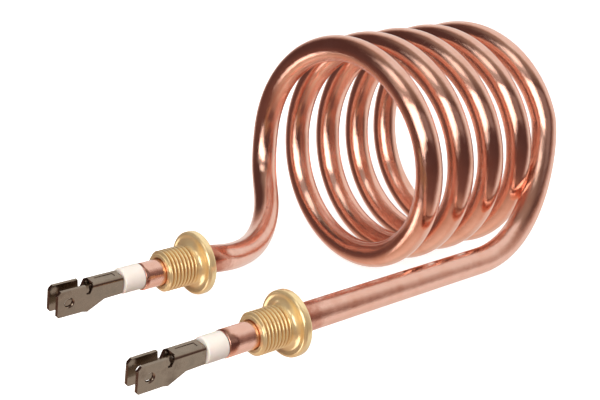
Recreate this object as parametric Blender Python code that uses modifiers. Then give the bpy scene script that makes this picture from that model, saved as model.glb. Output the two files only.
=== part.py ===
"""Coiled tubular electric immersion heater, copper sheathed, with two brass screw-in fittings.

Frame: metres, +Z up, +Y from the terminals towards the rear of the coil, +X from leg A to leg B.
The origin lies on the floor plane, under the middle of the overall box.
All lengths below are millimetres and are turned into metres by MM.
"""
import math

import bmesh
import bpy
from mathutils import Matrix, Vector

MM = 0.001
COLLECTION = "coiled_immersion_heater"

# Sheathed heating tube
TUBE_R = 3.5
SHEATH_WALL = 0.65
FILLING_R = 2.25
FILLING_WALL = 0.65
WIRE_COIL_R = 0.9

# Both ends of the sheath are drawn down a little, in front of the fittings
END_TUBE_R = 3.25
DRAWN_END_Y = -53.5
FULL_START_Y = -52.5

# Coil: axis along Y through x = 0, z = 0 of the working frame
COIL_R = 28.35
PITCH = 11.97
START_DEG = -3.2
END_DEG = 1593.2
STEP_DEG = 15.0

# Legs, parallel to the coil axis
LEG_A_X = 5.5
LEG_B_X = 39.04
LEG_Z = -17.67
SHEATH_END_Y = -65.2
FILLING_END_Y = -60.4
WIRE_END_Y = -48.1
LEAD_A_START_Y = -45.0
LEAD_B_END_Y = 18.5
LEAD_STATIONS = 22

# Each end assembly (sheath mouth, bushing, seal, pin, terminal) sits a little off its nominal place along Y
END_SLIDE = {"a": 0.95, "b": -0.75}

# On leg A the bushing, seal, pin and terminal also sit a little high in the sheath
END_LIFT = {"a": 0.3, "b": 0.0}

# Each brazed fitting sits a little off its nominal place along Y too
FITTING_SLIDE = {"a": -1.2, "b": -0.5}

# Bend of leg A into the first turn: inner control points
LEAD_A_BENDS = ((5.5, -43.5, -17.67), (6.41, -40.7, -18.18), (-4.81, -19.13, -25.24), (-16.69, -5.63, -18.97))
LEAD_A_RUN_IN = 12.2
LEAD_B_RUN_OUT = 7.0
LEAD_B_RUN_IN = 23.45

# Brass fitting, M10 x 1 stem with a round flange
BORE_R = 3.85
FRONT_BORE_R = 3.6
BORE_STEP_Y = -54.0
THREAD_TOP_R = 4.95
THREAD_ROOT_R = 4.35
THREAD_PITCH = 1.0
THREAD_RIDGES = 7
STEM_FRONT_Y = -57.7
THREAD_FRONT_Y = -57.2
NECK_R = 4.5
FLANGE_R = 7.8
FLANGE_FRONT_Y = -48.5
FLANGE_REAR_Y = -46.4
FLANGE_ROUND = 0.6
BRAZE_FRONT_Y = -46.1
BRAZE_REAR_Y = -44.4
BRAZE_R = 4.9

# Ceramic bushing, seal and pin
COLLAR_R = 3.05
COLLAR_FRONT_Y = -70.85
COLLAR_REAR_Y = -65.5
SPIGOT_R = 2.1
SPIGOT_REAR_Y = -63.2
PASSAGE_R = 1.35
SEAL_FRONT_Y = -62.9
SEAL_REAR_Y = -60.8
SEAL_R = 2.1
PIN_R = 1.0
PIN_FRONT_Y = -78.4
PIN_REAR_Y = -48.5

# Twin 6.3 x 0.8 tab terminal: side view as (y, z) from the pin axis
TAB_SHEET = 0.8
TERMINAL_W = 4.4
WEB_FRONT_Y = -79.0
WEB_TOP_Z = 2.15
HOLE_Y = -85.1
HOLE_Z = -0.9
HOLE_R = 0.85
SIDE_VIEW = (
    (-71.2, WEB_TOP_Z), (-71.2, -2.0), (-76.0, -2.15), (-80.4, -4.35), (-81.6, -4.05), (-87.7, -4.05),
    (-88.3, -3.4), (-88.3, 1.3), (-87.3, 2.25), (-81.0, 2.25), (-80.8, 0.1), (-79.9, 0.0),
    (-79.0, WEB_TOP_Z),
)


def clear_scene():
    for item in list(bpy.data.objects):
        bpy.data.objects.remove(item, do_unlink=True)


def make_material(name, colour, roughness, metallic):
    mat = bpy.data.materials.new(name)
    mat.use_nodes = True
    shader = mat.node_tree.nodes["Principled BSDF"]
    shader.inputs["Base Color"].default_value = (*colour, 1.0)
    shader.inputs["Roughness"].default_value = roughness
    shader.inputs["Metallic"].default_value = metallic
    mat.diffuse_color = (*colour, 1.0)
    return mat


def new_collection(name):
    made = bpy.data.collections.new(name)
    bpy.context.scene.collection.children.link(made)
    return made


def apply_modifiers(obj):
    graph = bpy.context.evaluated_depsgraph_get()
    graph.update()
    baked = bpy.data.meshes.new_from_object(obj.evaluated_get(graph))
    old = obj.data
    obj.modifiers.clear()
    obj.data = baked
    if isinstance(old, bpy.types.Mesh):
        bpy.data.meshes.remove(old)


def curve_to_mesh_object(curve_obj, name, collection):
    graph = bpy.context.evaluated_depsgraph_get()
    graph.update()
    mesh = bpy.data.meshes.new_from_object(curve_obj.evaluated_get(graph))
    mesh.name = name
    world = curve_obj.matrix_world.copy()
    bpy.data.objects.remove(curve_obj, do_unlink=True)
    obj = bpy.data.objects.new(name, mesh)
    obj.matrix_world = world
    collection.objects.link(obj)
    return obj


def tidy_mesh(obj, merge=1e-7):
    bm = bmesh.new()
    bm.from_mesh(obj.data)
    bmesh.ops.remove_doubles(bm, verts=bm.verts, dist=merge)
    bmesh.ops.recalc_face_normals(bm, faces=bm.faces)
    bm.to_mesh(obj.data)
    bm.free()


def shade_round(obj, angle_deg=35.0):
    obj.data.shade_smooth()
    obj.data.set_sharp_from_angle(angle=math.radians(angle_deg))


def finish(obj, mat, angle_deg=35.0):
    obj.data.materials.clear()
    obj.data.materials.append(mat)
    shade_round(obj, angle_deg)
    return obj


# ---------------------------------------------------------------- centreline of the tube

def coil_point(deg):
    angle = math.radians(deg)
    return Vector((-COIL_R * math.cos(angle), PITCH * deg / 360.0, COIL_R * math.sin(angle)))


def coil_tangent(deg):
    angle = math.radians(deg)
    rise = PITCH / (2.0 * math.pi)
    return Vector((COIL_R * math.sin(angle), rise, COIL_R * math.cos(angle))).normalized()


def clamped_knots(count, degree):
    inner = count - degree
    return [0.0] * degree + [i / inner for i in range(inner + 1)] + [1.0] * degree


def spline_point(controls, t, degree=3):
    """Point of the clamped uniform B-spline at t in 0..1."""
    knots = clamped_knots(len(controls), degree)
    span = degree
    while span < len(controls) - 1 and t >= knots[span + 1]:
        span += 1
    work = [controls[span - degree + i].copy() for i in range(degree + 1)]
    for level in range(1, degree + 1):
        for i in range(degree, level - 1, -1):
            left = knots[span - degree + i]
            right = knots[span + 1 + i - level]
            share = (t - left) / (right - left)
            work[i] = work[i - 1].lerp(work[i], share)
    return work[degree]


def lead_a_points():
    start = Vector((LEG_A_X, LEAD_A_START_Y, LEG_Z))
    joint = coil_point(START_DEG)
    controls = [start] + [Vector(p) for p in LEAD_A_BENDS]
    controls += [joint - coil_tangent(START_DEG) * LEAD_A_RUN_IN, joint]
    return [spline_point(controls, i / LEAD_STATIONS) for i in range(LEAD_STATIONS)]


def lead_b_points():
    joint = coil_point(END_DEG)
    end = Vector((LEG_B_X, LEAD_B_END_Y, LEG_Z))
    away = joint + coil_tangent(END_DEG) * LEAD_B_RUN_OUT
    controls = [joint, away, end + Vector((0, LEAD_B_RUN_IN, 0)), end]
    return [spline_point(controls, i / LEAD_STATIONS) for i in range(1, LEAD_STATIONS + 1)]


def tube_path(end_y):
    """Centreline from the mouth of leg A through the coil to the mouth of leg B."""
    turns = round((END_DEG - START_DEG) / STEP_DEG)
    step = [y for y in (DRAWN_END_Y, FULL_START_Y) if y > end_y + 2.0]
    path = [Vector((LEG_A_X, y, LEG_Z)) for y in [end_y + END_SLIDE["a"]] + step]
    path += lead_a_points()
    path += [coil_point(START_DEG + (END_DEG - START_DEG) * i / turns) for i in range(turns + 1)]
    path += lead_b_points()
    path += [Vector((LEG_B_X, y, LEG_Z)) for y in step[::-1] + [end_y + END_SLIDE["b"]]]
    return path


def sweep(name, end_y, radius, end_radius, resolution, caps, collection):
    path = tube_path(end_y)
    curve = bpy.data.curves.new(name, "CURVE")
    curve.dimensions = "3D"
    curve.twist_mode = "MINIMUM"
    curve.bevel_depth = radius * MM
    curve.bevel_resolution = resolution
    curve.use_fill_caps = caps
    spline = curve.splines.new("POLY")
    spline.points.add(len(path) - 1)
    for point, place in zip(spline.points, path):
        point.co = (*(place * MM), 1.0)
        point.radius = end_radius / radius if place.y < (DRAWN_END_Y + FULL_START_Y) / 2.0 else 1.0
    holder = bpy.data.objects.new(name + "_curve", curve)
    collection.objects.link(holder)
    obj = curve_to_mesh_object(holder, name, collection)
    tidy_mesh(obj)
    return obj


def hollow_sweep(name, end_y, radius, end_radius, wall, resolution, collection):
    obj = sweep(name, end_y, radius, end_radius, resolution, False, collection)
    shell = obj.modifiers.new("wall", "SOLIDIFY")
    shell.thickness = wall * MM
    shell.offset = -1.0
    shell.use_rim = True
    shell.use_even_offset = True
    apply_modifiers(obj)
    tidy_mesh(obj)
    return obj


# ---------------------------------------------------------------- turned pieces

def turned(name, profile, leg_x, steps, collection, lift=0.0):
    """Revolve a closed (radius, y) loop, listed top to bottom on its outer side, about a leg axis."""
    mesh = bpy.data.meshes.new(name)
    verts = [(radius * MM, 0.0, -y * MM) for radius, y in profile]
    count = len(verts)
    mesh.from_pydata(verts, [(i, (i + 1) % count) for i in range(count)], [])
    obj = bpy.data.objects.new(name, mesh)
    collection.objects.link(obj)
    screw = obj.modifiers.new("turn", "SCREW")
    screw.axis = "Z"
    screw.angle = math.tau
    screw.steps = steps
    screw.render_steps = steps
    screw.use_merge_vertices = True
    screw.merge_threshold = 0.00001
    screw.use_normal_calculate = True
    apply_modifiers(obj)
    tidy_mesh(obj)
    bm = bmesh.new()
    bm.from_mesh(obj.data)
    for vert in bm.verts:
        x, y, z = vert.co
        vert.co = (leg_x * MM + x, -z, (LEG_Z + lift) * MM + y)
    bmesh.ops.recalc_face_normals(bm, faces=bm.faces)
    bm.to_mesh(obj.data)
    bm.free()
    return obj


def ring_profile(inner, outer, front, rear):
    return [(outer, front), (outer, rear), (inner, rear), (inner, front)]


def fitting_profile():
    loop = [(THREAD_ROOT_R, STEM_FRONT_Y)]
    half = THREAD_PITCH / 2.0
    for ridge in range(THREAD_RIDGES):
        root_y = THREAD_FRONT_Y + ridge * THREAD_PITCH
        loop += [(THREAD_ROOT_R + 0.05, root_y), (THREAD_TOP_R, root_y + half)]
    last = THREAD_FRONT_Y + THREAD_RIDGES * THREAD_PITCH
    loop += [(THREAD_ROOT_R + 0.05, last), (NECK_R, last + 0.4), (NECK_R, FLANGE_FRONT_Y - 0.5)]
    loop += [(NECK_R + 0.5, FLANGE_FRONT_Y), (FLANGE_R - FLANGE_ROUND, FLANGE_FRONT_Y)]
    loop += [(FLANGE_R, FLANGE_FRONT_Y + FLANGE_ROUND), (FLANGE_R, FLANGE_REAR_Y - 0.4)]
    loop += [(FLANGE_R - 0.4, FLANGE_REAR_Y), (BORE_R, FLANGE_REAR_Y), (BORE_R, BORE_STEP_Y)]
    loop += [(FRONT_BORE_R, BORE_STEP_Y), (FRONT_BORE_R, STEM_FRONT_Y)]
    return loop


def slid(profile, slide):
    return [(radius, y + slide) for radius, y in profile]


def bushing_profile():
    return [
        (COLLAR_R - 0.35, COLLAR_FRONT_Y), (COLLAR_R, COLLAR_FRONT_Y + 0.35), (COLLAR_R, COLLAR_REAR_Y),
        (SPIGOT_R, COLLAR_REAR_Y), (SPIGOT_R, SPIGOT_REAR_Y), (PASSAGE_R, SPIGOT_REAR_Y),
        (PASSAGE_R, COLLAR_FRONT_Y),
    ]


def braze_profile():
    return [
        (BRAZE_R, BRAZE_FRONT_Y), (BRAZE_R - 0.55, BRAZE_FRONT_Y + 0.7), (BORE_R + 0.3, BRAZE_REAR_Y),
        (BORE_R, BRAZE_REAR_Y), (BORE_R, BRAZE_FRONT_Y),
    ]


def cylinder(name, radius, length, segments, collection):
    mesh = bpy.data.meshes.new(name)
    bm = bmesh.new()
    bmesh.ops.create_cone(
        bm, cap_ends=True, segments=segments, radius1=radius * MM, radius2=radius * MM, depth=length * MM)
    bm.to_mesh(mesh)
    bm.free()
    obj = bpy.data.objects.new(name, mesh)
    collection.objects.link(obj)
    return obj


def place(obj, spin, x, y, z):
    """Bake a turn (X, Y, Z degrees) and a move in millimetres into the mesh."""
    obj.rotation_euler = [math.radians(value) for value in spin]
    obj.location = (x * MM, y * MM, z * MM)
    bpy.context.view_layer.update()
    obj.data.transform(obj.matrix_world)
    obj.rotation_euler = (0.0, 0.0, 0.0)
    obj.location = (0.0, 0.0, 0.0)


def pin(name, leg_x, slide, lift, collection):
    obj = cylinder(name, PIN_R, PIN_REAR_Y - PIN_FRONT_Y, 14, collection)
    edge = obj.modifiers.new("edge", "BEVEL")
    edge.width = 0.2 * MM
    edge.segments = 1
    edge.limit_method = "ANGLE"
    edge.angle_limit = math.radians(60.0)
    apply_modifiers(obj)
    place(obj, (90.0, 0.0, 0.0), leg_x, (PIN_REAR_Y + PIN_FRONT_Y) / 2.0 + slide, LEG_Z + lift)
    return obj


# ---------------------------------------------------------------- twin tab terminal

def box(name, size, centre, collection):
    mesh = bpy.data.meshes.new(name)
    bm = bmesh.new()
    bmesh.ops.create_cube(bm, size=1.0)
    for vert in bm.verts:
        vert.co = [(c + s * v) * MM for c, s, v in zip(centre, size, vert.co)]
    bm.to_mesh(mesh)
    bm.free()
    obj = bpy.data.objects.new(name, mesh)
    collection.objects.link(obj)
    return obj


def side_plate_block(name, leg_x, slide, collection):
    """Side view of the terminal filled and extruded over its whole width."""
    curve = bpy.data.curves.new(name, "CURVE")
    curve.dimensions = "2D"
    curve.fill_mode = "BOTH"
    curve.extrude = TERMINAL_W / 2.0 * MM
    spline = curve.splines.new("POLY")
    spline.points.add(len(SIDE_VIEW) - 1)
    for point, (y, z) in zip(spline.points, SIDE_VIEW):
        point.co = ((y + slide) * MM, z * MM, 0.0, 1.0)
    spline.use_cyclic_u = True
    holder = bpy.data.objects.new(name + "_curve", curve)
    collection.objects.link(holder)
    obj = curve_to_mesh_object(holder, name, collection)
    tidy_mesh(obj)
    for vert in obj.data.vertices:
        along, up, across = vert.co
        vert.co = (leg_x * MM + across, along, LEG_Z * MM + up)
    tidy_mesh(obj)
    return obj


def cut(obj, cutters, collection):
    for cutter in cutters:
        for owner in list(cutter.users_collection):
            owner.objects.unlink(cutter)
        collection.objects.link(cutter)
        cutter.display_type = "WIRE"
        cutter.hide_render = True
        difference = obj.modifiers.new(cutter.name, "BOOLEAN")
        difference.operation = "DIFFERENCE"
        difference.solver = "EXACT"
        difference.object = cutter
    apply_modifiers(obj)
    tidy_mesh(obj)


def terminal(name, leg_x, slide, lift, parts, cutters):
    obj = side_plate_block(name, leg_x, slide, parts)
    bend = obj.modifiers.new("bend", "BEVEL")
    bend.width = 0.45 * MM
    bend.segments = 2
    bend.limit_method = "WEIGHT"
    edges = obj.data.edges
    weights = obj.data.attributes.new("bevel_weight_edge", "FLOAT", "EDGE")
    for edge in edges:
        ends = [obj.data.vertices[i].co for i in edge.vertices]
        on_web = all(abs(p.z / MM - LEG_Z - WEB_TOP_Z) < 0.01 for p in ends)
        along = abs(ends[0].y - ends[1].y) > 5.0 * MM
        weights.data[edge.index].value = 1.0 if on_web and along else 0.0
    apply_modifiers(obj)
    inner = TERMINAL_W - 2.0 * TAB_SHEET
    under_web = WEB_TOP_Z - TAB_SHEET
    channel_at = (leg_x, -80.0 + slide, LEG_Z + under_web - 5.0)
    slot = box(name + "_channel", (inner, 30.0, 10.0), channel_at, cutters)
    front = box(name + "_gap", (inner, 20.0, 20.0), (leg_x, WEB_FRONT_Y - 9.7 + slide, LEG_Z), cutters)
    hole = cylinder(name + "_hole", HOLE_R, 12.0, 14, cutters)
    place(hole, (0.0, 90.0, 0.0), leg_x, HOLE_Y + slide, LEG_Z + HOLE_Z)
    cut(obj, [slot, front, hole], cutters)
    obj.data.transform(Matrix.Translation((0.0, 0.0, lift * MM)))
    return obj


# ---------------------------------------------------------------- assembly

def stand_on_floor(objects):
    """Move every mesh so the overall box stands on z = 0, centred on the Z axis."""
    corners = [vert.co for obj in objects for vert in obj.data.vertices]
    low = [min(corner[axis] for corner in corners) for axis in range(3)]
    high = [max(corner[axis] for corner in corners) for axis in range(3)]
    shift = Vector((-(low[0] + high[0]) / 2.0, -(low[1] + high[1]) / 2.0, -low[2]))
    for obj in objects:
        for vert in obj.data.vertices:
            vert.co = vert.co + shift


def build():
    clear_scene()
    parts = new_collection(COLLECTION)
    cutters = new_collection("cutters")
    copper = (0.80, 0.42, 0.30)
    brass = (0.82, 0.62, 0.25)
    white = (0.90, 0.88, 0.85)

    made = [
        finish(
            hollow_sweep("copper_sheath", SHEATH_END_Y, TUBE_R, END_TUBE_R, SHEATH_WALL, 4, parts),
            make_material("copper_tube", copper, 0.22, 1.0), 50.0),
        finish(
            hollow_sweep("magnesia_filling", FILLING_END_Y, FILLING_R, FILLING_R, FILLING_WALL, 2, parts),
            make_material("magnesia", (0.86, 0.84, 0.80), 0.9, 0.0), 50.0),
        finish(
            sweep("resistance_coil", WIRE_END_Y, WIRE_COIL_R, WIRE_COIL_R, 1, True, parts),
            make_material("resistance_wire", (0.45, 0.44, 0.43), 0.4, 1.0), 50.0),
    ]
    for side, leg_x in (("a", LEG_A_X), ("b", LEG_B_X)):
        slide, lift, set_back = END_SLIDE[side], END_LIFT[side], FITTING_SLIDE[side]
        made.append(finish(
            turned("brass_fitting_" + side, slid(fitting_profile(), set_back), leg_x, 24, parts),
            make_material("brass_" + side, brass, 0.25, 1.0), 40.0))
        made.append(finish(
            turned("braze_ring_" + side, slid(braze_profile(), set_back), leg_x, 20, parts),
            make_material("braze_" + side, (0.62, 0.38, 0.22), 0.5, 1.0)))
        made.append(finish(
            turned("ceramic_bushing_" + side, slid(bushing_profile(), slide), leg_x, 20, parts, lift),
            make_material("ceramic_" + side, white, 0.45, 0.0)))
        seal = ring_profile(PASSAGE_R, SEAL_R, SEAL_FRONT_Y, SEAL_REAR_Y)
        made.append(finish(
            turned("end_seal_" + side, slid(seal, slide), leg_x, 14, parts, lift),
            make_material("seal_" + side, (0.70, 0.30, 0.22), 0.6, 0.0)))
        made.append(finish(
            pin("terminal_pin_" + side, leg_x, slide, lift, parts),
            make_material("pin_" + side, (0.60, 0.60, 0.58), 0.3, 1.0)))
        made.append(finish(
            terminal("twin_tab_terminal_" + side, leg_x, slide, lift, parts, cutters),
            make_material("tab_steel_" + side, (0.50, 0.47, 0.43), 0.35, 1.0), 30.0))
    stand_on_floor(made)


build()
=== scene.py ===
"""Looks of a coiled copper immersion heating element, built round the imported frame."""

import math

import bmesh
import bpy
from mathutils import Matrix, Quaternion, Vector, noise


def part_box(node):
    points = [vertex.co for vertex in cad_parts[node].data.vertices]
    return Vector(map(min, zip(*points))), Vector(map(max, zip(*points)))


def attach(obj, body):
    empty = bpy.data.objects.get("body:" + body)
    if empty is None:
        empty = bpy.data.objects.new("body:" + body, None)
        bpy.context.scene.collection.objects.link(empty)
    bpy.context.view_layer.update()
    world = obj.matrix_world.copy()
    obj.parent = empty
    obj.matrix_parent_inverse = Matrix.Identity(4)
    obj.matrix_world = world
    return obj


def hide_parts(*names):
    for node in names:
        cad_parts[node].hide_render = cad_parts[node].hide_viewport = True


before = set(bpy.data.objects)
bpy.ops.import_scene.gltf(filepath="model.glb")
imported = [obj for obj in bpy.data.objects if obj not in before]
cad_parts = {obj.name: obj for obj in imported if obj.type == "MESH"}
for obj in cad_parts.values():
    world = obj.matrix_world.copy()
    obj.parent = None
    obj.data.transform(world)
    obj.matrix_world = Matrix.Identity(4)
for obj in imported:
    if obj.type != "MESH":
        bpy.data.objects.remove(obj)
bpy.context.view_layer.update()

# ---------------------------------------------------------------- sizes
# Millimetres, in the element's own axes: the coil winds about the Y axis and the legs run
# along Y, with their tips at -Y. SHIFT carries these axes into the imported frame.
MM = 0.001

# How far the end assembly and the fitting of each leg sit along it, and how high the end sits.
END_SLIDE = {"a": 0.95, "b": -0.75}
END_LIFT = {"a": 0.3, "b": 0.0}
FITTING_SLIDE = {"a": -1.2, "b": -0.5}

# Copper tube: radii, coil, legs, and the leads that join the coil to the legs.
TUBE_R = 3.43
END_TUBE_R = 3.21
DRAWN_END_Y = -53.5
FULL_START_Y = -52.5
TUBE_WALL = 0.65
TUBE_WAVER = 0.02
COIL_R = 28.35
PITCH = 11.97
START_DEG = -3.2
END_DEG = 1593.2
LEG_X = {"a": 5.5, "b": 39.04}
LEG_Z = -17.67
SHEATH_END_Y = -65.2
LEAD_A_START_Y = -45.0
LEAD_B_END_Y = 18.5
LEAD_A_BENDS = ((5.5, -43.5, -17.67), (6.41, -40.7, -18.18), (-4.81, -19.13, -25.24), (-16.69, -5.63, -18.97))
LEAD_A_RUN_IN = 12.2
LEAD_B_RUN_OUT = 7.0
LEAD_B_RUN_IN = 23.45

# Brass fitting. Stations of its outline with the radius ON_THREAD follow the thread.
BORE_R = 3.55
FRONT_BORE_R = 3.3
BORE_STEP_Y = -54.0
THREAD_TOP_R = 4.95
THREAD_ROOT_R = 4.28
THREAD_PITCH = 1.0
STEM_FRONT_Y = -57.7
THREAD_REAR_Y = -49.55
ON_THREAD = -1.0
NECK_R = 4.5
NECK_FILLET = 0.8
FLANGE_R = 7.77
FLANGE_FRONT_Y = -48.5
FLANGE_REAR_Y = -46.4

# Braze behind the flange.
BRAZE_FRONT_Y = -46.25
BRAZE_REAR_Y = -44.3
BRAZE_RIM_R = 5.35
BRAZE_RISE = 1.65

# Ceramic bushing.
BUSHING_FRONT_Y = -70.85
BUSHING_REAR_Y = -65.45
BUSHING_R = 3.03
BUSHING_BORE_R = 1.3
SPIGOT_R = 2.1
SPIGOT_END_Y = -63.2

# Twin tab terminal: its side view as (y, z), and what is bent, cut and stamped in it.
TERMINAL_W = 4.4
TAB_SHEET = 0.8
WEB_FRONT_Y = -79.0
WEB_TOP_Z = 2.15
TIP_Y = -88.27
SIDE_VIEW = (
    (-71.2, WEB_TOP_Z), (-71.2, -2.0), (-76.0, -2.15), (-80.4, -4.35), (-81.6, -4.05), (-87.7, -4.05),
    (TIP_Y, -3.4), (TIP_Y, 1.3), (-87.3, 2.25), (-81.0, 2.25), (-80.8, 0.1), (-79.9, 0.0),
    (WEB_FRONT_Y, WEB_TOP_Z),
)
BEND_R = 0.85
INNER_BEND_R = 0.35
HOLE_Y, HOLE_Z = -85.1, -0.9
HOLE_R = 1.0
FLARE_R = 1.6
FLARE_DEPTH = 0.245
FLARE_PROUD = 0.3
POCKET_Y = -74.9
POCKET_SIZE = (1.5, 4.8, 0.6)
POCKET_DEPTH = 0.14
TIP_CHAMFER = 0.26
EDGE_ROUNDING = 0.11


def frame_shift():
    """From the element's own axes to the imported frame, read from the box of fitting A."""
    low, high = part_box("brass_fitting_a")
    x = (low.x + high.x) / 2.0 / MM - LEG_X["a"]
    y = low.y / MM - STEM_FRONT_Y - FITTING_SLIDE["a"]
    z = (low.z + high.z) / 2.0 / MM - LEG_Z
    return Vector((round(x, 4), round(y, 4), round(z, 4)))


SHIFT = frame_shift()


# ---------------------------------------------------------------- mesh helpers

def new_object(name, bm):
    """Turns a finished bmesh into an object of the scene."""
    mesh = bpy.data.meshes.new(name)
    bm.to_mesh(mesh)
    bm.free()
    made = bpy.data.objects.new(name, mesh)
    bpy.context.scene.collection.objects.link(made)
    return made


def bake_modifiers(obj):
    graph = bpy.context.evaluated_depsgraph_get()
    graph.update()
    baked = bpy.data.meshes.new_from_object(obj.evaluated_get(graph))
    obj.modifiers.clear()
    obj.data = baked


def smooth(obj, angle):
    """Smooth shading, with edges sharper than angle degrees left sharp."""
    obj.data.shade_smooth()
    obj.data.set_sharp_from_angle(angle=math.radians(angle))


def ringed(name, rings, uv, closed=False):
    """An object of quads between rings of points. uv(row, column) gives a corner's place."""
    bm = bmesh.new()
    rows = [[bm.verts.new(p) for p in ring] for ring in rings]
    layer = bm.loops.layers.uv.new("UVMap")
    columns = len(rings[0])
    last = len(rows) if closed else len(rows) - 1
    for i in range(last):
        a, b = rows[i], rows[(i + 1) % len(rows)]
        for j in range(columns):
            k = (j + 1) % columns
            face = bm.faces.new((a[j], a[k], b[k], b[j]))
            corners = ((i, j), (i, j + 1), (i + 1, j + 1), (i + 1, j))
            for loop, (row, column) in zip(face.loops, corners):
                loop[layer].uv = uv(row, column)
    bmesh.ops.recalc_face_normals(bm, faces=bm.faces)
    return new_object(name, bm)


def leg_axis(side):
    """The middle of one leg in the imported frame, in millimetres; its y stays 0."""
    return Vector((LEG_X[side] + SHIFT.x, 0.0, LEG_Z + SHIFT.z))


# ---------------------------------------------------------------- tube

def coil_point(deg):
    angle = math.radians(deg)
    return Vector((-COIL_R * math.cos(angle), PITCH * deg / 360.0, COIL_R * math.sin(angle)))


def coil_tangent(deg):
    angle = math.radians(deg)
    rise = PITCH / (2.0 * math.pi)
    return Vector((COIL_R * math.sin(angle), rise, COIL_R * math.cos(angle))).normalized()


def spline_point(controls, t):
    """Point at t, from 0 to 1, on the cubic B-spline from the first control to the last."""
    degree = 3
    inner = len(controls) - degree
    knots = [0.0] * degree + [i / inner for i in range(inner + 1)] + [1.0] * degree
    span = degree
    while span < len(controls) - 1 and t >= knots[span + 1]:
        span += 1
    work = [controls[span - degree + i].copy() for i in range(degree + 1)]
    for level in range(1, degree + 1):
        for i in range(degree, level - 1, -1):
            left = knots[span - degree + i]
            right = knots[span + 1 + i - level]
            work[i] = work[i - 1].lerp(work[i], (t - left) / (right - left))
    return work[degree]


def tube_path():
    """Centreline from the mouth of leg A, through the coil, to the mouth of leg B, in metres."""
    leg_a_steps, lead_a_steps, coil_steps, lead_b_steps, leg_b_steps = 21, 48, 400, 32, 41
    leg_b_step = 2.0
    mouth_a, mouth_b = SHEATH_END_Y + END_SLIDE["a"], SHEATH_END_Y + END_SLIDE["b"]
    start, end = Vector((LEG_X["a"], LEAD_A_START_Y, LEG_Z)), Vector((LEG_X["b"], LEAD_B_END_Y, LEG_Z))
    joint, leave = coil_point(START_DEG), coil_point(END_DEG)
    lead_a = [start] + [Vector(p) for p in LEAD_A_BENDS]
    lead_a += [joint - coil_tangent(START_DEG) * LEAD_A_RUN_IN, joint]
    lead_b = [leave, leave + coil_tangent(END_DEG) * LEAD_B_RUN_OUT, end + Vector((0, LEAD_B_RUN_IN, 0)), end]

    leg_a_y = [mouth_a + (LEAD_A_START_Y - mouth_a) * i / leg_a_steps for i in range(leg_a_steps)]
    leg_b_y = [LEAD_B_END_Y - i * leg_b_step for i in range(1, leg_b_steps + 1)] + [mouth_b]
    turns = [START_DEG + (END_DEG - START_DEG) * i / coil_steps for i in range(coil_steps + 1)]
    path = [Vector((LEG_X["a"], y, LEG_Z)) for y in leg_a_y]
    path += [spline_point(lead_a, i / lead_a_steps) for i in range(lead_a_steps)]
    path += [coil_point(deg) for deg in turns]
    path += [spline_point(lead_b, i / lead_b_steps) for i in range(1, lead_b_steps + 1)]
    path += [Vector((LEG_X["b"], y, LEG_Z)) for y in leg_b_y]
    return [(p + SHIFT) * MM for p in path]


def carried_frames(path):
    """Tangent and two side vectors per point, carried along with the least twist."""
    tangents = []
    for i in range(len(path)):
        before, after = path[max(i - 1, 0)], path[min(i + 1, len(path) - 1)]
        tangents.append((after - before).normalized())
    side = Vector((0, 0, 1)).cross(tangents[0]).normalized()
    frames = []
    for i, tangent in enumerate(tangents):
        if i:
            side = tangents[i - 1].rotation_difference(tangent) @ side
            side = (side - tangent * side.dot(tangent)).normalized()
        frames.append((tangent, side, tangent.cross(side)))
    return frames


def tube_radius(place):
    """Full radius everywhere but at the two drawn-down ends."""
    y = place.y / MM - SHIFT.y
    share = min(max((y - DRAWN_END_Y) / (FULL_START_Y - DRAWN_END_Y), 0.0), 1.0)
    return END_TUBE_R + (TUBE_R - END_TUBE_R) * share


def build_tube():
    sides = 40
    wavers_per_metre = 130.0
    path = tube_path()
    frames = carried_frames(path)
    travelled = [0.0]
    for a, b in zip(path, path[1:]):
        travelled.append(travelled[-1] + (b - a).length)

    def ring(i, radius, slide=0.0):
        tangent, side, up = frames[i]
        centre = path[i] + tangent * slide * MM
        points = []
        for j in range(sides):
            angle = math.tau * j / sides
            out = side * math.cos(angle) + up * math.sin(angle)
            wave = noise.noise(Vector((travelled[i] * wavers_per_metre, math.cos(angle), math.sin(angle))))
            points.append(centre + out * (radius + TUBE_WAVER * wave) * MM)
        return points

    inner = END_TUBE_R - TUBE_WALL
    chamfer = inner + 0.12
    lip = END_TUBE_R - 0.15
    last = len(path) - 1
    rings = [ring(3, inner), ring(0, inner), ring(0, chamfer, -0.08), ring(0, lip, -0.1)]
    rings += [ring(i, tube_radius(place)) for i, place in enumerate(path)]
    rings += [ring(last, lip, 0.1), ring(last, chamfer, 0.08), ring(last, inner), ring(last - 2, inner)]
    total = travelled[-1]
    inside = 0.003
    lengths = [inside, 0.0, 0.0, 0.0] + travelled + [total, total, total, total - inside]

    obj = ringed("tube_copper", rings, uv=lambda row, column: (lengths[row] * 10.0, column / sides))
    smooth(obj, 60.0)
    return obj


# ---------------------------------------------------------------- turned pieces

def turned(name, side, outline, segments, radius_at, slide, lift=0.0):
    """A closed outline of (radius, y) turned about a leg; radius_at(radius, y, angle) varies it."""
    axis = leg_axis(side)
    rings = []
    for radius, y in outline:
        ring = []
        for j in range(segments):
            angle = math.tau * j / segments
            r = radius_at(radius, y, angle)
            place = (axis.x + r * math.cos(angle), y + slide + SHIFT.y, axis.z + lift + r * math.sin(angle))
            ring.append(Vector(place) * MM)
        rings.append(ring)
    along = [0.0]
    for a, b in zip(outline, outline[1:] + outline[:1]):
        along.append(along[-1] + math.hypot(abs(a[0]) - abs(b[0]), a[1] - b[1]))
    return ringed(name, rings, uv=lambda row, column: (along[row] / 10.0, column / segments), closed=True)


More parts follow.
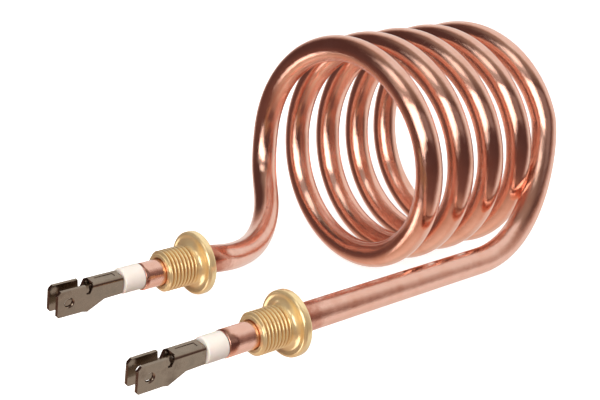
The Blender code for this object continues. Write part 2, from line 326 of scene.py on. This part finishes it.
def arc(radius_centre, y_centre, size, start, end, steps):
    """(radius, y) points on a small rounding of an outline; angles in degrees."""
    points = []
    for i in range(steps + 1):
        angle = math.radians(start + (end - start) * i / steps)
        points.append((radius_centre + size * math.cos(angle), y_centre + size * math.sin(angle)))
    return points


def thread_radius(y, angle):
    """Radius of a true right-hand helical thread, fading at both ends."""
    from_front = y - STEM_FRONT_Y
    phase = from_front / THREAD_PITCH - angle / math.tau
    tooth = 1.0 - abs(2.0 * (phase - math.floor(phase)) - 1.0)
    tooth = min(max((tooth - 0.12) / 0.7, 0.0), 1.0)
    tooth = tooth * tooth * (3.0 - 2.0 * tooth)
    start = THREAD_ROOT_R - 0.05
    crest = max(min(THREAD_TOP_R, start + from_front * 1.5), start)
    fade = min(max((THREAD_REAR_Y - y) / 0.6, 0.0), 1.0)
    root = THREAD_ROOT_R + (NECK_R - THREAD_ROOT_R) * (1.0 - fade)
    return root + max(crest - root, 0.0) * tooth * fade if crest > root else crest


def fitting_outline():
    """Round the section from the front of the bore, over the thread and flange, and back."""
    thread_steps = 132
    thread_length = THREAD_REAR_Y - STEM_FRONT_Y
    fillet_y = FLANGE_FRONT_Y - 0.95
    face_round, back_round = 0.72, 0.4
    outline = [(FRONT_BORE_R, STEM_FRONT_Y + 0.25), (FRONT_BORE_R + 0.2, STEM_FRONT_Y)]
    outline += [(THREAD_ROOT_R - 0.2, STEM_FRONT_Y)]
    outline += [(ON_THREAD, STEM_FRONT_Y + thread_length * i / thread_steps) for i in range(thread_steps + 1)]
    outline += [(NECK_R, THREAD_REAR_Y + 0.05), (NECK_R, fillet_y)]
    outline += [(NECK_R + NECK_FILLET - r, fillet_y + y) for r, y in arc(0.0, 0.0, NECK_FILLET, 0.0, 78.0, 6)]
    outline += [(NECK_R + 1.2, FLANGE_FRONT_Y + 0.12), (NECK_R + 2.0, FLANGE_FRONT_Y + 0.14)]
    outline += arc(FLANGE_R - 0.75, FLANGE_FRONT_Y + face_round, face_round, -105.0, 0.0, 9)
    outline += [(FLANGE_R, FLANGE_REAR_Y - 0.5)]
    outline += arc(FLANGE_R - back_round, FLANGE_REAR_Y - back_round, back_round, 0.0, 90.0, 5)
    outline += [(NECK_R + 1.0, FLANGE_REAR_Y), (BORE_R, FLANGE_REAR_Y)]
    outline += [(BORE_R, BORE_STEP_Y), (FRONT_BORE_R, BORE_STEP_Y - 0.2)]
    return outline


def build_fitting(side):
    def radius_at(radius, y, angle):
        return thread_radius(y, angle) if radius == ON_THREAD else radius

    obj = turned("fitting_" + side, side, fitting_outline(), 96, radius_at, FITTING_SLIDE[side])
    smooth(obj, 50.0)
    return obj


def build_braze(side):
    """A lumpy fillet between the back of the flange and the tube."""
    steps = 8
    inner = TUBE_R + 0.04
    slope_y = BRAZE_FRONT_Y + 0.2
    outline = [(inner, BRAZE_FRONT_Y), (BRAZE_RIM_R, BRAZE_FRONT_Y)]
    outline += [(BRAZE_RIM_R - 0.05, BRAZE_FRONT_Y + 0.12)]
    for i in range(steps + 1):
        t = i / steps
        outline.append((inner + 0.08 + BRAZE_RISE * (1.0 - t) ** 2.2, slope_y + (BRAZE_REAR_Y - slope_y) * t))
    outline.append((inner, BRAZE_REAR_Y))

    def radius_at(radius, y, angle):
        if radius == inner:
            return radius
        place = Vector((math.cos(angle) * 1.6, math.sin(angle) * 1.6, y * 0.9 + LEG_X[side]))
        return radius + 0.28 * noise.noise(place) * (radius - inner) / 1.6

    obj = turned("braze_" + side, side, outline, 64, radius_at, FITTING_SLIDE[side])
    smooth(obj, 60.0)
    return obj


def build_bushing(side):
    """A fired ceramic collar with a spigot that goes into the tube."""
    mouth_round, front_round, rear_round = 0.25, 0.4, 0.18
    front, rear = BUSHING_FRONT_Y, BUSHING_REAR_Y
    outline = [(BUSHING_BORE_R, front + 0.3)]
    outline += [(BUSHING_BORE_R + mouth_round - r, front + mouth_round - y)
                for r, y in arc(0.0, 0.0, mouth_round, 30.0, 90.0, 2)]
    outline += arc(BUSHING_R - front_round, front + front_round, front_round, -90.0, 0.0, 6)
    outline += [(BUSHING_R, front + 1.4), (BUSHING_R, front + 2.8)]
    outline += arc(BUSHING_R - rear_round, rear - rear_round, rear_round, 0.0, 90.0, 4)
    outline += [(SPIGOT_R + 0.1, rear), (SPIGOT_R, rear + 0.1)]
    outline += [(SPIGOT_R, SPIGOT_END_Y), (BUSHING_BORE_R, SPIGOT_END_Y)]

    def radius_at(radius, y, angle):
        return radius + 0.015 * noise.noise(Vector((math.cos(angle) * 2, math.sin(angle) * 2, y)))

    obj = turned("bushing_" + side, side, outline, 56, radius_at, END_SLIDE[side], END_LIFT[side])
    smooth(obj, 50.0)
    return obj


# ---------------------------------------------------------------- twin tab terminals

def block(name, size, centre):
    bm = bmesh.new()
    bmesh.ops.create_cube(bm, size=1.0)
    for vert in bm.verts:
        vert.co = Vector([(c + s * v) for c, s, v in zip(centre, size, vert.co)]) * MM
    return new_object(name, bm)


def flared_rod(name, centre, stations):
    """A closed rod along X through (x, radius) stations measured from its centre."""
    segments = 40
    bm = bmesh.new()
    rings = []
    for x, radius in stations:
        ring = []
        for j in range(segments):
            angle = math.tau * (j + 0.5) / segments
            out = Vector((x, radius * math.cos(angle), radius * math.sin(angle)))
            ring.append(bm.verts.new((Vector(centre) + out) * MM))
        rings.append(ring)
    for a, b in zip(rings, rings[1:]):
        for j in range(segments):
            k = (j + 1) % segments
            bm.faces.new((a[j], a[k], b[k], b[j]))
    bm.faces.new(rings[0])
    bm.faces.new(rings[-1])
    bmesh.ops.recalc_face_normals(bm, faces=bm.faces)
    return new_object(name, bm)


def bevel_edges(obj, chosen, width, segments):
    """Bevels the edges whose two ends satisfy chosen(a, b)."""
    name = "bevel_weight_edge"
    weights = obj.data.attributes.get(name) or obj.data.attributes.new(name, "FLOAT", "EDGE")
    for edge in obj.data.edges:
        a, b = [obj.data.vertices[i].co for i in edge.vertices]
        weights.data[edge.index].value = 1.0 if chosen(a, b) else 0.0
    bevel = obj.modifiers.new("bevel", "BEVEL")
    bevel.width = width * MM
    bevel.segments = segments
    bevel.limit_method = "WEIGHT"
    bake_modifiers(obj)


def round_long_edges(obj, z, width, segments):
    """Rounds the level edges along Y at height z, where the sheet is bent."""
    def along_bend(a, b):
        level = abs(a.z - z * MM) < 1e-5 and abs(b.z - z * MM) < 1e-5
        return level and abs(a.y - b.y) > 5.0 * MM

    bevel_edges(obj, along_bend, width, segments)


def chamfer_tips(obj, y):
    """Cuts lead-in chamfers on the upright edges of both tabs at y, their front."""
    def upright_at_tip(a, b):
        front = abs(a.y - y * MM) < 1e-5 and abs(b.y - y * MM) < 1e-5
        return front and abs(a.z - b.z) > 2.0 * MM

    bevel_edges(obj, upright_at_tip, TIP_CHAMFER, 1)


def settle(obj):
    """Merges doubles left by cutting and puts the elements in one fixed order."""
    bm = bmesh.new()
    bm.from_mesh(obj.data)
    bmesh.ops.remove_doubles(bm, verts=bm.verts, dist=0.002 * MM)
    bmesh.ops.dissolve_degenerate(bm, edges=bm.edges, dist=0.001 * MM)
    slant = Vector((1.0, 7.3, 53.9))
    bm.verts.sort(key=lambda vert: vert.co.dot(slant))
    bm.edges.sort(key=lambda edge: (edge.verts[0].co + edge.verts[1].co).dot(slant))
    bm.faces.sort(key=lambda face: face.calc_center_median().dot(slant))
    bm.to_mesh(obj.data)
    bm.free()


def terminal_blank(side, axis, y0):
    """The side view pulled out to the full width, with the two bends rounded."""
    half = TERMINAL_W / 2
    bm = bmesh.new()
    outline = [bm.verts.new(Vector((axis.x - half, y + y0, axis.z + z)) * MM) for y, z in SIDE_VIEW]
    pushed = bmesh.ops.extrude_face_region(bm, geom=[bm.faces.new(outline)])
    moved = [v for v in pushed["geom"] if isinstance(v, bmesh.types.BMVert)]
    bmesh.ops.translate(bm, verts=moved, vec=Vector((TERMINAL_W * MM, 0, 0)))
    bmesh.ops.recalc_face_normals(bm, faces=bm.faces)
    obj = new_object("terminal_" + side, bm)
    round_long_edges(obj, axis.z + WEB_TOP_Z, BEND_R, 6)
    return obj


def terminal_cutters(axis, y0):
    """Channel under the web, gap between the tabs, flared hole, and the web's shallow pocket."""
    half = TERMINAL_W / 2
    inner = TERMINAL_W - 2 * TAB_SHEET
    under = WEB_TOP_Z - TAB_SHEET
    channel = block("channel", (inner, 30.0, 10.0), (axis.x, -80.0 + y0, axis.z + under - 5.0))
    round_long_edges(channel, axis.z + under, INNER_BEND_R, 3)
    gap = block("gap", (inner, 20.0, 20.0), (axis.x, WEB_FRONT_Y - 9.7 + y0, axis.z))
    flare = ((-half - FLARE_PROUD, FLARE_R), (-half + FLARE_DEPTH, HOLE_R),
             (half - FLARE_DEPTH, HOLE_R), (half + FLARE_PROUD, FLARE_R))
    hole = flared_rod("hole", (axis.x, HOLE_Y + y0, axis.z + HOLE_Z), flare)
    pocket_z = WEB_TOP_Z - POCKET_DEPTH + POCKET_SIZE[2] / 2
    pocket = block("pocket", POCKET_SIZE, (axis.x, POCKET_Y + y0, axis.z + pocket_z))
    return [channel, gap, hole, pocket]


def cut(obj, cutters):
    for cutter in cutters:
        difference = obj.modifiers.new(cutter.name, "BOOLEAN")
        difference.operation = "DIFFERENCE"
        difference.solver = "MANIFOLD"
        difference.object = cutter
    bake_modifiers(obj)
    settle(obj)
    for cutter in cutters:
        bpy.data.objects.remove(cutter, do_unlink=True)


def soften_edges(obj):
    """Small roundings on every stamped edge, with the flat faces kept flat in shading."""
    edge = obj.modifiers.new("edge", "BEVEL")
    edge.width = EDGE_ROUNDING * MM
    edge.segments = 2
    edge.limit_method = "ANGLE"
    edge.angle_limit = math.radians(38.0)
    bake_modifiers(obj)
    smooth(obj, 35.0)
    even = obj.modifiers.new("even", "WEIGHTED_NORMAL")
    even.mode = "FACE_AREA"
    even.weight = 100
    even.keep_sharp = True
    bake_modifiers(obj)


def build_terminal(side):
    axis = leg_axis(side) + Vector((0.0, 0.0, END_LIFT[side]))
    y0 = SHIFT.y + END_SLIDE[side]
    obj = terminal_blank(side, axis, y0)
    cut(obj, terminal_cutters(axis, y0))
    chamfer_tips(obj, TIP_Y + y0)
    soften_edges(obj)
    return obj


# ---------------------------------------------------------------- node helpers

class Nodes:
    """Adds and links the nodes of one material or world. shader is the node they feed."""

    def __init__(self, owner, shader):
        owner.use_nodes = True
        self.owner = owner
        self.tree = owner.node_tree
        self.shader = self.tree.nodes[shader]

    def feed(self, socket, value):
        """Links the value if it is a socket, and sets it if it is a number or a colour."""
        if isinstance(value, bpy.types.NodeSocket):
            self.tree.links.new(value, socket)
        else:
            socket.default_value = value

    def add(self, kind, inputs=None, **settings):
        node = self.tree.nodes.new(kind)
        for key, value in settings.items():
            setattr(node, key, value)
        for slot, value in (inputs or {}).items():
            self.feed(node.inputs[slot], value)
        return node

    def shade(self, **inputs):
        """Feeds the shader's own sockets; a name's underscores stand for spaces."""
        for name, value in inputs.items():
            self.feed(self.shader.inputs[name.replace("_", " ")], value)
        return self.owner

    def object_coords(self):
        return self.add("ShaderNodeTexCoord").outputs["Object"]

    def uv(self):
        return self.add("ShaderNodeTexCoord").outputs["UV"]

    def math(self, operation, *values):
        return self.add("ShaderNodeMath", dict(enumerate(values)), operation=operation).outputs[0]

    def mixed(self, share, first, second, blend="MIX"):
        """Colour between first, at share 0, and second, at share 1."""
        node = self.add("ShaderNodeMix", data_type="RGBA", blend_type=blend)
        for slot, value in ((0, share), (6, first), (7, second)):
            self.feed(node.inputs[slot], value)
        return node.outputs[2]

    def ramp(self, source, stops):
        node = self.add("ShaderNodeValToRGB", {"Fac": source})
        points = node.color_ramp.elements
        while len(points) < len(stops):
            points.new(0.5)
        for point, (place, colour) in zip(points, stops):
            point.position = place
            point.color = (*colour, 1.0)
        return node.outputs["Color"]

    def noise(self, vector, scale, detail=4.0, rough=0.5):
        inputs = {"Vector": vector, "Scale": scale, "Detail": detail, "Roughness": rough}
        return self.add("ShaderNodeTexNoise", inputs).outputs["Fac"]

    def spread(self, source, low, high, from_low=0.3, from_high=0.7, kind="LINEAR"):
        inputs = {"Value": source, "From Min": from_low, "From Max": from_high, "To Min": low, "To Max": high}
        return self.add("ShaderNodeMapRange", inputs, interpolation_type=kind).outputs["Result"]

    def stretched(self, vector, scale):
        return self.add("ShaderNodeMapping", {"Vector": vector, "Scale": scale}).outputs["Vector"]

    def bump(self, height, strength, distance, normal=None):
        inputs = {"Height": height, "Strength": strength, "Distance": distance}
        if normal is not None:
            inputs["Normal"] = normal
        return self.add("ShaderNodeBump", inputs).outputs["Normal"]


def principled(name):
    return Nodes(bpy.data.materials.new(name), "Principled BSDF")


# ---------------------------------------------------------------- metals

def metal(name, roughness, stops, patch_scale):
    """Nodes, object coordinates and patchy colour of a metal; its roughness is set already."""
    nodes = principled(name)
    coords = nodes.object_coords()
    patches = nodes.noise(coords, patch_scale, 5.0, 0.6)
    nodes.shade(Metallic=1.0, Roughness=nodes.spread(patches, roughness[0], roughness[1]))
    return nodes, coords, nodes.ramp(patches, stops)


def heat_tint(nodes, coords):
    """1 on the tube just behind the flanges, with a ragged rear edge, and 0 elsewhere."""
    y = nodes.add("ShaderNodeSeparateXYZ", {"Vector": coords}).outputs["Y"]
    ragged = nodes.math("MULTIPLY", nodes.noise(coords, 420.0, 4.0, 0.6), 0.010)
    rear_edge = nodes.spread(nodes.math("SUBTRACT", y, ragged), 1.0, 0.0, -0.033, -0.027)
    front_edge = nodes.spread(y, 0.0, 1.0, -0.036, -0.033)
    return nodes.math("MULTIPLY", rear_edge, front_edge)


def copper_material():
    nodes, coords, plain = metal("polished_copper", (0.07, 0.17), (
        (0.30, (0.92, 0.51, 0.38)), (0.50, (0.95, 0.58, 0.46)), (0.72, (0.88, 0.47, 0.34))), 85.0)
    colour = nodes.mixed(heat_tint(nodes, coords), plain, (0.60, 0.23, 0.15, 1.0))
    drawing_lines = nodes.noise(nodes.stretched(nodes.uv(), (3.0, 60.0, 1.0)), 6.0, 3.0, 0.55)
    normal = nodes.bump(nodes.noise(coords, 140.0, 2.0, 0.5), 0.16, 0.0007)
    normal = nodes.bump(drawing_lines, 0.2, 0.0001, normal)
    normal = nodes.bump(nodes.noise(coords, 900.0, 2.0, 0.5), 0.05, 0.0001, normal)
    return nodes.shade(Base_Color=colour, Normal=normal)


def thread_root_shade(nodes, uv):
    """1 in the roots of the thread and 0 elsewhere; it marks where the brass is darkened as painted shade. U
    counts the outline in centimetres.
    """
    first_turn_mm = 4.06
    across = nodes.add("ShaderNodeSeparateXYZ", {"Vector": uv})
    turns_per_u = 10.0 / THREAD_PITCH
    first_turn = first_turn_mm / THREAD_PITCH
    turns = nodes.math("MULTIPLY_ADD", across.outputs["X"], turns_per_u, -first_turn)
    phase = nodes.math("FRACT", nodes.math("SUBTRACT", turns, across.outputs["Y"]))
    from_crest = nodes.math("ABSOLUTE", nodes.math("SUBTRACT", phase, 0.5))
    root = nodes.spread(from_crest, 0.0, 1.0, 0.26, 0.44)
    starts = nodes.spread(turns, 0.0, 1.0, 0.2, 0.9)
    ends = nodes.spread(turns, 1.0, 0.0, 7.7, 8.2)
    return nodes.math("MULTIPLY", root, nodes.math("MULTIPLY", starts, ends))


def brass_material():
    nodes, coords, plain = metal("turned_brass", (0.12, 0.22), (
        (0.30, (1.00, 0.76, 0.38)), (0.52, (1.00, 0.81, 0.46)), (0.75, (0.98, 0.68, 0.32))), 160.0)
    uv = nodes.uv()
    # Painted shade: the thread roots are darkened to brown to stand in for the shade between the ridges.
    colour = nodes.mixed(thread_root_shade(nodes, uv), plain, (0.50, 0.23, 0.08, 1.0))
    turning_rings = nodes.noise(nodes.stretched(uv, (60.0, 2.0, 1.0)), 1.0, 2.0, 0.6)
    normal = nodes.bump(turning_rings, 0.30, 0.00006)
    normal = nodes.bump(nodes.noise(coords, 420.0, 3.0, 0.6), 0.12, 0.00012, normal)
    return nodes.shade(Metallic=0.63, Base_Color=colour, Normal=normal)


def braze_material():
    nodes, coords, colour = metal("heat_stained_braze", (0.28, 0.55), (
        (0.30, (0.46, 0.25, 0.16)), (0.52, (0.70, 0.43, 0.26)), (0.75, (0.34, 0.18, 0.13))), 380.0)
    lumps = nodes.noise(coords, 900.0, 4.0, 0.6)
    return nodes.shade(Base_Color=colour, Normal=nodes.bump(lumps, 0.45, 0.0002))


def tab_material():
    nodes, coords, colour = metal("satin_nickelled_steel", (0.13, 0.25), (
        (0.28, (0.265, 0.215, 0.165)), (0.52, (0.33, 0.262, 0.20)), (0.76, (0.22, 0.172, 0.13))), 260.0)
    rolling_lines = nodes.noise(nodes.stretched(coords, (400.0, 160.0, 3200.0)), 1.0, 3.0, 0.6)
    return nodes.shade(Base_Color=colour, Normal=nodes.bump(rolling_lines, 0.18, 0.00005))


def pin_material():
    nodes, coords, colour = metal("drawn_steel_pin", (0.2, 0.38), (
        (0.3, (0.52, 0.51, 0.49)), (0.7, (0.64, 0.63, 0.60))), 300.0)
    grain = nodes.noise(coords, 1500.0)
    return nodes.shade(Base_Color=colour, Normal=nodes.bump(grain, 0.15, 0.0001))


def wire_material():
    nodes, coords, colour = metal("resistance_wire_core", (0.3, 0.5), (
        (0.3, (0.36, 0.34, 0.33)), (0.7, (0.50, 0.48, 0.46))), 500.0)
    windings = nodes.noise(coords, 2600.0, 2.0)
    return nodes.shade(Base_Color=colour, Normal=nodes.bump(windings, 0.5, 0.0002))


# ---------------------------------------------------------------- ceramic, rubber, powder, floor

def dielectric(name, roughness, stops, patch_scale, grain_scale, grain_strength):
    nodes = principled(name)
    coords = nodes.object_coords()
    patches = nodes.noise(coords, patch_scale, 4.0, 0.55)
    grain = nodes.bump(nodes.noise(coords, grain_scale, 3.0, 0.6), grain_strength, 0.0002)
    nodes.shade(Base_Color=nodes.ramp(patches, stops), Normal=grain,
                Roughness=nodes.spread(patches, roughness[0], roughness[1]))
    return nodes


def ceramic_material():
    nodes = dielectric("white_ceramic", (0.32, 0.5), (
        (0.30, (0.88, 0.83, 0.77)), (0.55, (0.93, 0.88, 0.82)), (0.80, (0.90, 0.84, 0.78))),
        200.0, 900.0, 0.12)
    return nodes.shade(Subsurface_Weight=0.15, Subsurface_Scale=0.001)


def seal_material():
    return dielectric("red_silicone", (0.5, 0.7), (
        (0.3, (0.42, 0.12, 0.08)), (0.7, (0.52, 0.17, 0.11))), 500.0, 1500.0, 0.3).owner


def magnesia_material():
    return dielectric("pressed_magnesia", (0.8, 0.95), (
        (0.3, (0.74, 0.72, 0.68)), (0.7, (0.84, 0.82, 0.78))), 700.0, 2500.0, 0.6).owner


def floor_material():
    nodes = principled("white_sweep")
    tone = nodes.noise(nodes.object_coords(), 3.0, 3.0)
    colour = nodes.ramp(tone, ((0.3, (0.80, 0.80, 0.80)), (0.7, (0.83, 0.83, 0.83))))
    return nodes.shade(Base_Color=colour, Roughness=0.9, Specular_IOR_Level=0.1,
                       Emission_Color=(1.0, 0.995, 0.99, 1.0), Emission_Strength=0.78)


# ---------------------------------------------------------------- assembly

def paint(obj, mat):
    obj.data.materials.clear()
    obj.data.materials.append(mat)


def add_piece(obj, mat, node):
    paint(obj, mat)
    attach(obj, "root")
    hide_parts(node)


def dress():
    """Puts a fine piece over each visible CAD node and gives the inner nodes their materials."""
    add_piece(build_tube(), copper_material(), "copper_sheath")
    brass, braze, ceramic, steel = brass_material(), braze_material(), ceramic_material(), tab_material()
    seal, pin = seal_material(), pin_material()
    inner = {"magnesia_filling": magnesia_material(), "resistance_coil": wire_material()}
    for side in ("a", "b"):
        add_piece(build_fitting(side), brass, "brass_fitting_" + side)
        add_piece(build_braze(side), braze, "braze_ring_" + side)
        add_piece(build_bushing(side), ceramic, "ceramic_bushing_" + side)
        add_piece(build_terminal(side), steel, "twin_tab_terminal_" + side)
        inner["end_seal_" + side] = seal
        inner["terminal_pin_" + side] = pin
    for name, mat in inner.items():
        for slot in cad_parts[name].material_slots:
            slot.material = mat


# ---------------------------------------------------------------- studio

def build_floor():
    """A plain pale floor that lights nothing and shows in no reflection."""
    bm = bmesh.new()
    bmesh.ops.create_grid(bm, x_segments=24, y_segments=24, size=3.0)
    floor = new_object("floor", bm)
    floor.visible_glossy = False
    floor.visible_diffuse = False
    paint(floor, floor_material())


def toward(azimuth, elevation):
    """Unit direction. Azimuth 0 is -Y, 90 is +X; elevation is up from the floor."""
    a, e = math.radians(azimuth), math.radians(elevation)
    return Vector((math.sin(a) * math.cos(e), -math.cos(a) * math.cos(e), math.sin(e)))


def softbox(name, azimuth, elevation, size, tilt, radiance, colour, distance=1.0, mirrored=True):
    """A soft rectangular light facing the object; size is (long, short) in metres."""
    light = bpy.data.lights.new(name, "AREA")
    light.shape = "RECTANGLE"
    light.size, light.size_y = size
    light.energy = radiance * 4.0 * size[0] * size[1]
    light.color = colour
    obj = bpy.data.objects.new(name, light)
    out = toward(azimuth, elevation)
    obj.location = Vector((0.0, 0.0, 0.03)) + out * distance
    obj.rotation_mode = "QUATERNION"
    obj.rotation_quaternion = Quaternion(out, math.radians(tilt)) @ (-out).to_track_quat("-Z", "Y")
    obj.visible_camera = False
    obj.visible_glossy = mirrored
    bpy.context.scene.collection.objects.link(obj)


def build_lights():
    softbox("key", 23.0, 15.0, (1.05, 0.50), tilt=37.0, radiance=1.95, colour=(1.0, 0.985, 0.96))
    softbox("halo", 14.0, 30.0, (1.60, 0.95), tilt=55.0, radiance=0.24, colour=(1.0, 0.97, 0.93),
            distance=1.3)
    softbox("upper", 3.0, 51.0, (0.62, 0.34), tilt=50.0, radiance=0.85, colour=(0.98, 1.0, 0.97))
    softbox("fill", 82.0, 34.0, (0.95, 0.42), tilt=0.0, radiance=0.16, colour=(1.0, 0.90, 0.86))
    softbox("overhead", 48.0, 52.0, (0.9, 0.9), tilt=0.0, radiance=2.4, colour=(1.0, 0.96, 0.91),
            mirrored=False)
    softbox("low", -22.0, -37.0, (0.42, 0.22), tilt=0.0, radiance=1.6, colour=(1.0, 0.98, 0.95))


def backdrop_share(nodes, way, height):
    """How much of the white backdrop is seen each way: all of it behind, more of it low down."""
    level_way = nodes.add("ShaderNodeVectorMath", {0: way, 1: (1.0, 1.0, 0.0)}, operation="MULTIPLY")
    unit = nodes.add("ShaderNodeVectorMath", {0: level_way.outputs[0]}, operation="NORMALIZE").outputs[0]
    facing = nodes.add("ShaderNodeVectorMath", {0: unit, 1: toward(-165.0, 0.0)}, operation="DOT_PRODUCT")
    lower = nodes.spread(height, 0.0, 0.36, -0.05, -0.34)
    return nodes.spread(nodes.math("ADD", facing.outputs["Value"], lower), 0.0, 1.0, 0.22, 0.80, "SMOOTHSTEP")


def build_world():
    """A white backdrop behind the object and a dim, warm room in front of it."""
    world = bpy.data.worlds.new("studio")
    bpy.context.scene.world = world
    nodes = Nodes(world, "Background")
    way = nodes.add("ShaderNodeTexCoord").outputs["Generated"]
    height = nodes.add("ShaderNodeSeparateXYZ", {0: way}).outputs["Z"]
    share = backdrop_share(nodes, way, height)
    level = nodes.spread(height, 0.0, 1.0, -1.0, 1.0)
    room = nodes.ramp(level, (
        (0.00, (0.84, 0.70, 0.60)), (0.11, (0.62, 0.42, 0.33)), (0.27, (0.17, 0.085, 0.07)),
        (0.52, (0.095, 0.052, 0.048)), (0.85, (0.085, 0.046, 0.042)), (1.00, (0.33, 0.27, 0.235))))
    backdrop = nodes.ramp(level, (
        (0.00, (0.70, 0.58, 0.50)), (0.25, (0.84, 0.82, 0.80)), (1.00, (0.84, 0.84, 0.83))))
    warm_edge = nodes.ramp(share, (
        (0.0, (1.0, 1.0, 1.0)), (0.25, (1.0, 0.74, 0.65)), (0.55, (1.0, 0.80, 0.73)),
        (0.85, (1.0, 1.0, 1.0))))
    lit = nodes.mixed(1.0, nodes.mixed(share, room, backdrop), warm_edge, "MULTIPLY")
    seen = nodes.add("ShaderNodeLightPath").outputs["Is Camera Ray"]
    nodes.shade(Color=nodes.mixed(seen, lit, (1.0, 1.0, 1.0, 1.0)), Strength=1.0)


def build_camera():
    data = bpy.data.cameras.new("camera")
    data.sensor_width = 36.0
    data.lens = 70.66
    data.shift_x = -0.0363
    data.shift_y = -0.0111
    data.clip_start = 0.01
    data.clip_end = 20.0
    camera = bpy.data.objects.new("camera", data)
    ahead = -toward(44.722, 22.621)
    roll = math.radians(8.06)
    camera.location = (Vector((203.883, -209.015, 110.553)) + SHIFT) * MM
    camera.rotation_mode = "QUATERNION"
    camera.rotation_quaternion = Quaternion(ahead, -roll) @ ahead.to_track_quat("-Z", "Y")
    bpy.context.scene.collection.objects.link(camera)
    bpy.context.scene.camera = camera


dress()
build_floor()
build_lights()
build_world()
build_camera()
bpy.context.scene.view_settings.view_transform = "Standard"

bpy.context.view_layer.update()
